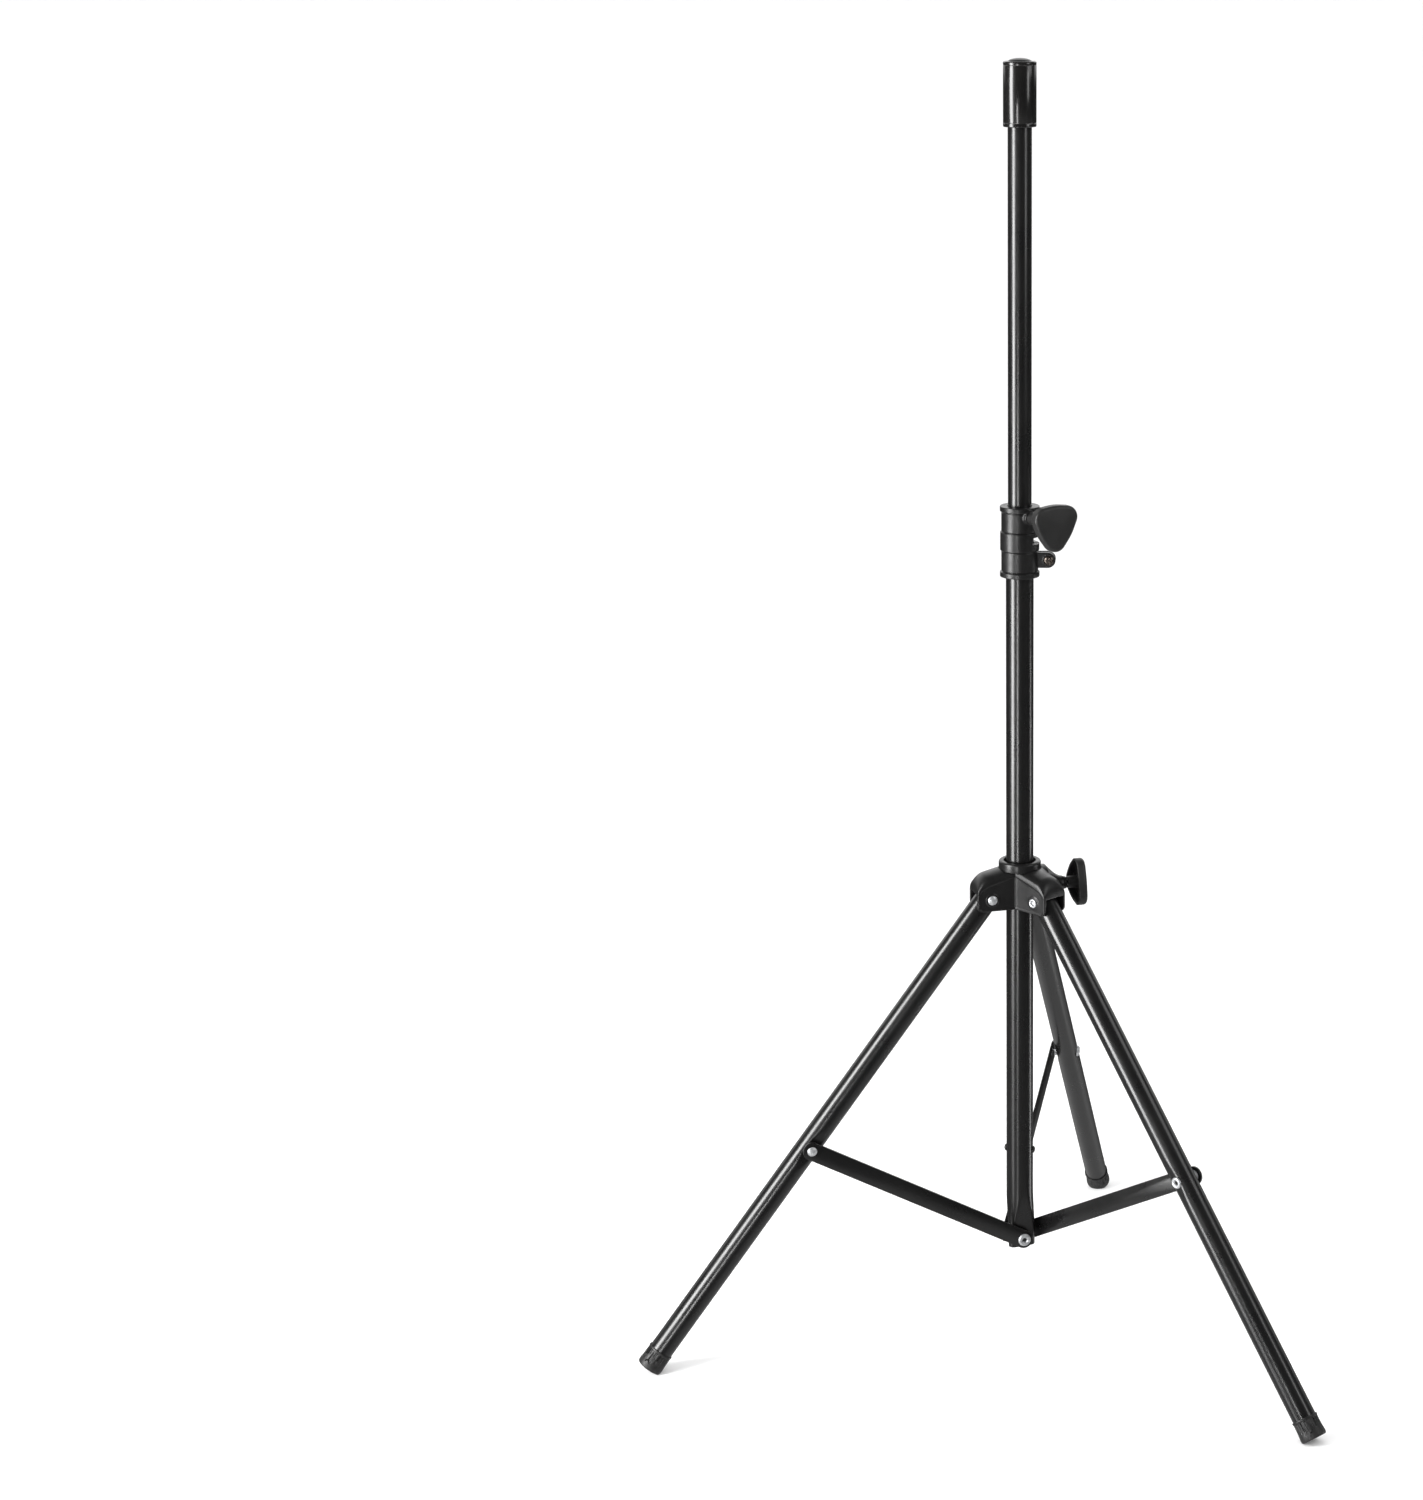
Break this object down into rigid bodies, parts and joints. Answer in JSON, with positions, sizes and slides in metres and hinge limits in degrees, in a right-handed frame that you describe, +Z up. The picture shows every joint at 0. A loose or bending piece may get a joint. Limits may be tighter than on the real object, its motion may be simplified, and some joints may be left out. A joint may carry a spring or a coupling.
{
  "type": "speaker tripod stand",
  "caption": "Folding tripod stand for a loudspeaker: telescoping steel pole, knob clamp, sliding hub with braced legs and rubber feet.",
  "frame": {"origin": "on the floor, on the mast's axis", "axes": "+Z up the mast; the leg azimuths from +X are 196.6, 316.6 and 76.6 degrees, and -Y faces the viewer"},
  "size_m": [0.7454, 0.7347, 1.4235],
  "materials": {
    "tube_paint": "smooth semi-gloss black powder coat",
    "sleeve_black": "glossy black over fine turning lines, lightly scratched",
    "moulded_black": "fine-textured moulded black plastic",
    "knob_grey": "matte dark grey moulded plastic",
    "foot_rubber": "satin black rubber",
    "nylon_black": "satin black nylon",
    "zinc_steel": "bright zinc plate",
    "nickel_steel": "nickel plate"
  },
  "bodies": {
    "mast": {"mast_tube": "tube_paint", "mast_foot_plug": "moulded_black", "pole_stop_pin": "moulded_black", "clamp_body": "moulded_black", "clamp_bush": "nylon_black", "clamp_nut": "zinc_steel", "pinch_screw": "nickel_steel", "pinch_nut": "zinc_steel", "mast_washer_1": "zinc_steel", "mast_washer_2": "zinc_steel", "mast_washer_3": "zinc_steel", "mast_brace_rivet_1": "zinc_steel", "mast_brace_rivet_2": "zinc_steel", "mast_brace_rivet_3": "zinc_steel"},
    "pole": {"pole_tube": "tube_paint", "pole_sleeve": "sleeve_black", "pole_cap": "moulded_black", "pole_foot_bush": "nylon_black"},
    "clamp_pad": {"clamp_knob_pad": "nylon_black"},
    "clamp_knob": {"clamp_knob_head": "knob_grey", "clamp_knob_stud": "zinc_steel"},
    "hub": {"hub_bracket": "moulded_black", "hub_bush": "nylon_black", "hub_nut": "zinc_steel", "leg_pivot_rivet_1": "zinc_steel", "leg_pivot_rivet_2": "zinc_steel", "leg_pivot_rivet_3": "zinc_steel"},
    "hub_pad": {"hub_knob_pad": "nylon_black"},
    "hub_knob": {"hub_knob_head": "knob_grey", "hub_knob_stud": "zinc_steel"},
    "leg_1": {"leg_tube_1": "tube_paint", "leg_plug_1": "moulded_black", "leg_foot_1": "foot_rubber", "leg_brace_rivet_1": "zinc_steel", "leg_washer_1": "zinc_steel"},
    "brace_1": {"brace_bar_1": "tube_paint", "brace_rivet_head_1": "zinc_steel"},
    "leg_2": {"leg_tube_2": "tube_paint", "leg_plug_2": "moulded_black", "leg_foot_2": "foot_rubber", "leg_brace_rivet_2": "zinc_steel", "leg_washer_2": "zinc_steel"},
    "brace_2": {"brace_bar_2": "tube_paint", "brace_rivet_head_2": "zinc_steel"},
    "leg_3": {"leg_tube_3": "tube_paint", "leg_plug_3": "moulded_black", "leg_foot_3": "foot_rubber", "leg_brace_rivet_3": "zinc_steel", "leg_washer_3": "zinc_steel"},
    "brace_3": {"brace_bar_3": "tube_paint", "brace_rivet_head_3": "zinc_steel"}
  },
  "joints": [
    {"name": "pole_slide", "type": "slide", "parent": "mast", "child": "pole", "axis": [0, 0, 1], "range_m": [-0.4, 0.17]},
    {"name": "hub_slide", "type": "slide", "parent": "mast", "child": "hub", "axis": [0, 0, 1], "range_m": [0, 0.21033]},
    {"name": "leg_1_hinge", "type": "hinge", "parent": "hub", "child": "leg_1", "pos_m": [-0.0345, -0.01029, 0.5163], "axis": [0.2857, -0.9583, 0], "range_deg": [0, 35.62]},
    {"name": "leg_2_hinge", "type": "hinge", "parent": "hub", "child": "leg_2", "pos_m": [0.02616, -0.02474, 0.5163], "axis": [0.6871, 0.7266, 0], "range_deg": [0, 35.62]},
    {"name": "leg_3_hinge", "type": "hinge", "parent": "hub", "child": "leg_3", "pos_m": [0.00834, 0.03502, 0.5163], "axis": [-0.9728, 0.2317, 0], "range_deg": [0, 35.62]},
    {"name": "brace_1_hinge", "type": "hinge", "parent": "mast", "child": "brace_1", "pos_m": [0, 0, 0.1125], "axis": [-0.2857, 0.9583, 0], "range_deg": [0, 51.33]},
    {"name": "brace_2_hinge", "type": "hinge", "parent": "mast", "child": "brace_2", "pos_m": [0, 0, 0.1125], "axis": [-0.6871, -0.7266, 0], "range_deg": [0, 51.33]},
    {"name": "brace_3_hinge", "type": "hinge", "parent": "mast", "child": "brace_3", "pos_m": [0, 0, 0.1125], "axis": [0.9728, -0.2317, 0], "range_deg": [0, 51.33]},
    {"name": "clamp_pad_feed", "type": "slide", "parent": "mast", "child": "clamp_pad", "axis": [0.515, -0.8572, 0], "range_m": [0, 0.0026]},
    {"name": "clamp_knob_turn", "type": "hinge", "parent": "clamp_pad", "child": "clamp_knob", "pos_m": [0.0309, -0.05143, 0.9417], "axis": [0.515, -0.8572, 0], "range_deg": [0, 900]},
    {"name": "hub_pad_feed", "type": "slide", "parent": "hub", "child": "hub_pad", "axis": [0.9583, 0.2857, 0], "range_m": [0, 0.0026]},
    {"name": "hub_knob_turn", "type": "hinge", "parent": "hub_pad", "child": "hub_knob", "pos_m": [0.0575, 0.01714, 0.5245], "axis": [0.9583, 0.2857, 0], "range_deg": [0, 900]}
  ],
  "couplings": [
    {"joint": "leg_1_hinge", "follows": "hub_slide", "rad_per_m": 2.9516},
    {"joint": "leg_2_hinge", "follows": "hub_slide", "rad_per_m": 2.9516},
    {"joint": "leg_3_hinge", "follows": "hub_slide", "rad_per_m": 2.9516},
    {"joint": "brace_1_hinge", "follows": "hub_slide", "rad_per_m": 4.2555},
    {"joint": "brace_2_hinge", "follows": "hub_slide", "rad_per_m": 4.2555},
    {"joint": "brace_3_hinge", "follows": "hub_slide", "rad_per_m": 4.2555},
    {"joint": "clamp_pad_feed", "follows": "clamp_knob_turn", "m_per_rad": 0.00015915},
    {"joint": "hub_pad_feed", "follows": "hub_knob_turn", "m_per_rad": 0.00015915}
  ]
}
